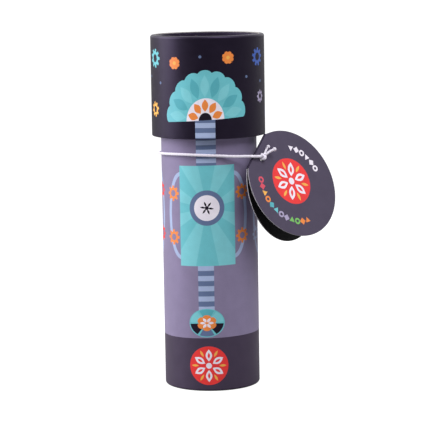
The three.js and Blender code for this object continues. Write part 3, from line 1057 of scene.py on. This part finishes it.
def rolled(x, z, radius, share, outer):
    """The place of a point x round and z up a wrap, with its share of the lap's rise."""
    on_lap = (x - math.pi * outer + LAP_WIDTH) / (LAP_WIDTH * LAP_RISE)
    ramp = min(max(on_lap, 0), 1)
    lifted = radius + LAP * share * ramp * ramp * (3 - 2 * ramp)
    return lifted * math.sin(x / outer), -lifted * math.cos(x / outer), z


def printed_sheet(layers, ground, low, high, outer):
    """The outside of a wrap, and the paper's cut end where it lies on its start."""
    half = math.pi * outer
    columns = np.linspace(-half, half, STEPS + 1)[1:-1]
    heights = np.linspace(low, high, round((high - low) / ROW) + 1)[1:-1]
    lines = [((x, low), (x, high)) for x in columns]
    lines += [((-half, z), (half, z)) for z in heights]
    flat, faces, tops = cut_up(box(-half, half, low, high), layers, lines)
    inks = [layers[top][0] if top >= 0 else ground for top in tops]
    start, end = (
        sorted((i for i, p in enumerate(flat) if abs(p[0] - x) < WELD), key=lambda i: flat[i][1])
        for x in (-half, half)
    )
    faces += zip(start, start[1:], end[1:], end)
    inks += ["paper"] * (len(start) - 1)
    return [rolled(x, z, outer, 1, outer) for x, z in flat], faces, inks


def folded_ends(low_end, high_end, outer):
    """A wrap's two folded ends and its inside, in rows from the bottom's outside to the top's."""
    (low_printed, low_bare), (high_printed, high_bare) = low_end, high_end
    rows = [*low_printed, *low_bare, *high_bare[::-1], *high_printed[::-1]]
    columns = np.linspace(-math.pi * outer, math.pi * outer, STEPS + 1)
    width, steps = len(columns), len(rows) - 1
    points = [rolled(x, z, radius, share, outer) for radius, z, share in rows for x in columns]
    faces = grid_faces(len(rows), width, ring_columns=False)
    inks = []  # as many rows are inked at each end, so a plain cut has its inside inked too
    for row in range(steps):
        is_inked = row < len(low_printed) - 1 or row > steps - len(low_printed)
        inks += ["fold" if is_inked else "paper"] * (width - 1)
    for row in range(steps):
        if rows[row][2] + rows[row + 1][2] > 0:
            start, up = row * width, (row + 1) * width
            faces.append((start, up, up + width - 1, start + width - 1))
            inks.append("paper")
    return points, faces, inks


def make_wrap(name, node, ground, fold_ink, artwork, corners):
    """Printed paper round a card tube: the flat artwork rolled up, with its ends folded over
    corners of the given sizes, bottom and top, or cut straight where that is 0."""
    lip, outer, bottom, top = turned_size(node)
    low, high = bottom + corners[0], top - corners[1]
    layers = artwork(low, high, math.pi * outer)
    surfaces = {n: ink(n) for n in (ground, *(n for n, _ in layers))}
    surfaces.update(fold=worn_ink(fold_ink), paper=paper_material())
    low_end = fold_rows(outer, lip, bottom, corners[0], 1)
    high_end = fold_rows(outer, lip, top, corners[1], -1)
    sheet = printed_sheet(layers, ground, low, high, outer)
    piece = build_inked(name, [sheet, folded_ends(low_end, high_end, outer)], surfaces)
    shade_round(piece)
    attach(piece, node)


def shade_round(piece):
    """Gives the faces on the outside of a wrap the normals of a true cylinder."""
    mesh = piece.data
    normals = [Vector(n.vector) for n in mesh.corner_normals]
    for polygon in mesh.polygons:
        for corner in polygon.loop_indices:
            at = mesh.vertices[mesh.loops[corner].vertex_index].co
            radial = Vector((at.x, at.y, 0)).normalized()
            if radial.dot(polygon.normal) > 0.99:
                normals[corner] = radial
    mesh.normals_split_custom_set(normals)


def make_wraps():
    """The wraps of the body and of the cap."""
    make_wrap("body_print", "body_wrap", "lilac", "band", body_artwork,
              (CORNER, 0))
    make_wrap("cap_print", "cap_wrap", "night", "night", cap_artwork,
              (CREASE, CORNER))


# ---- the turned pieces and the mirrors ----

TURNED_PIECES = {  # TURNED_PIECES = { # the CAD nodes made in each material, with the size of their rounded edges
    "raw_card": {
        "body_tube": 0.1, "eyepiece_ring": 0.2, "retaining_collar": 0.2, "cap_tube": 0.1,
        "bearing_sleeve": 0.2, "window_seat": 0.2, "chamber_ring": 0.2,
    },
    "black_card": {"end_ring": 0.25, "eyepiece_disc": 0.35},
    "clear_plastic": {"eyepiece_window": 0.12, "tube_window": 0.12, "chamber_window": 0.12},
    "frosted_plastic": {"diffuser": 0.15},
}


def make_turned_pieces():
    """The turned pieces of card and plastic, with their edges rounded."""
    black = surface("black_card", (26, 19, 33), drift=0.7, sizes=(3, 0.3), rough=(0.6, 0.75),
                    relief=0.01, **PRINT_GLOSS)
    materials = (card_material(), black, clear_material(), frosted_material())
    for material, (slot, corners) in zip(materials, TURNED_PIECES.items()):
        for node, corner in corners.items():
            inner, outer, bottom, top = turned_size(node)
            profile = rounded(box(inner if inner > WELD else 0, outer, bottom, top), corner)
            attach(turned(f"{node}_turned", profile, material), node)


def dress_flat_parts():
    """Materials for the mirrors, their holders and their tape, whose CAD shapes stay. The
    holders, out of sight in the tube, have the CAD's plain card."""
    mirror, card, tape = mirror_material(), bpy.data.materials["raw_card"], tape_material()
    dressed = {
        **{f"mirror_{n}": mirror for n in (1, 2, 3)},
        **{f"{level}_mirror_holder": card for level in ("lower", "upper")},
        **{f"{level}_mirror_tape": tape for level in ("lower", "upper")},
    }
    for node, material in dressed.items():
        mesh = frame["nodes"][node].data
        mesh.materials.clear()
        mesh.materials.append(material)


# ---- the beads ----

BEAD_COLOURS = {
    "teal": (53, 179, 173), "orange": (240, 138, 60), "red": (226, 58, 54),
    "blue": (61, 98, 184), "yellow": (242, 197, 61), "green": (95, 174, 74),
    "pink": (224, 103, 154),
}
BALL_HOLE = 0.55  # radius of the threading hole at the ball's surface
CHIP_EDGE = 0.22  # how far a chip's edges are rounded over


@cache
def bead_material(colour):
    """Glossy moulded plastic, with faint flow marks."""
    return surface(
        f"bead_plastic_{colour}", BEAD_COLOURS[colour], drift=0.75, sizes=(1.6, 0.5),
        rough=(0.12, 0.22), relief=0.006,
        **{"Coat Weight": 0.4, "Coat Roughness": 0.08, "Subsurface Weight": 0.15,
           "Subsurface Scale": 0.002},
    )


def make_beads():
    """The loose beads, of the kind and colour in their CAD nodes' names."""
    makers = {"ball": ball_bead, "tube": tube_bead}
    for node in frame["nodes"]:
        if node.startswith("bead_"):
            _, kind, colour = node.split("_")
            bead = makers.get(kind, chip_bead)(node, bead_material(colour))
            attach(bead, node)


def ball_bead(node, material):
    """A ball with a threading hole through it, a little narrower inside."""
    points = cad_points(node)
    radius = (points[:, 2].max() - points[:, 2].min()) / 2
    start = math.degrees(math.acos(BALL_HOLE / radius))
    profile = arc(0, 0, radius, -start, start, 24)
    narrow = BALL_HOLE * 0.9
    profile += [(narrow, profile[-1][1] - 0.1), (narrow, profile[0][1] + 0.1)]
    bead = turned(f"{node}_moulded", profile, material, steps=40)
    bead.data.transform(Matrix.Translation(Vector(middle(node)) * MM))
    return bead


def tube_bead(node, material):
    """A short pipe with rounded ends, lying as its CAD node lies."""
    points = cad_points(node)
    centre = points.mean(axis=0)
    along = np.linalg.eigh(np.cov((points - centre).T))[1][:, -1]
    reach = np.abs((points - centre) @ along).max()
    low, high = points[:, 2].min(), points[:, 2].max()
    radius = (high - low) / 2
    corners = box(radius / 2, radius, -reach, reach)
    bead = turned(f"{node}_moulded", rounded(corners, 0.25), material, steps=32)
    turn = Vector(along).to_track_quat("Z", "Y").to_matrix().to_4x4()
    at = Vector((*centre[:2], (high + low) / 2))
    bead.data.transform(Matrix.Translation(at * MM) @ turn)
    return bead


def chip_bead(node, material):
    """The CAD chip with its edges rounded over."""
    mesh = frame["nodes"][node].data.copy()
    mesh.materials.clear()
    bead = link_mesh(f"{node}_moulded", mesh, [material])
    shape = bmesh.new()
    shape.from_mesh(mesh)
    bmesh.ops.remove_doubles(shape, verts=shape.verts, dist=WELD * MM)
    bmesh.ops.dissolve_limit(shape, angle_limit=math.radians(2), verts=shape.verts,
                             edges=shape.edges)
    sharp = [e for e in shape.edges if e.calc_face_angle(0) > math.radians(30)]
    bmesh.ops.bevel(shape, geom=sharp, offset=CHIP_EDGE * MM, segments=3, profile=0.5,
                    affect="EDGES", clamp_overlap=True)
    for face in shape.faces:
        face.smooth = True
    shape.to_mesh(mesh)
    shape.free()
    mesh.set_sharp_from_angle(angle=SMOOTH_ANGLE)
    return bead


# ---- the scene ----

SCENE.view_settings.view_transform = "Standard"
make_camera()
make_elastic()
make_floor()
make_world()
make_softboxes()
make_wraps()
make_tag()
make_turned_pieces()
dress_flat_parts()
make_beads()
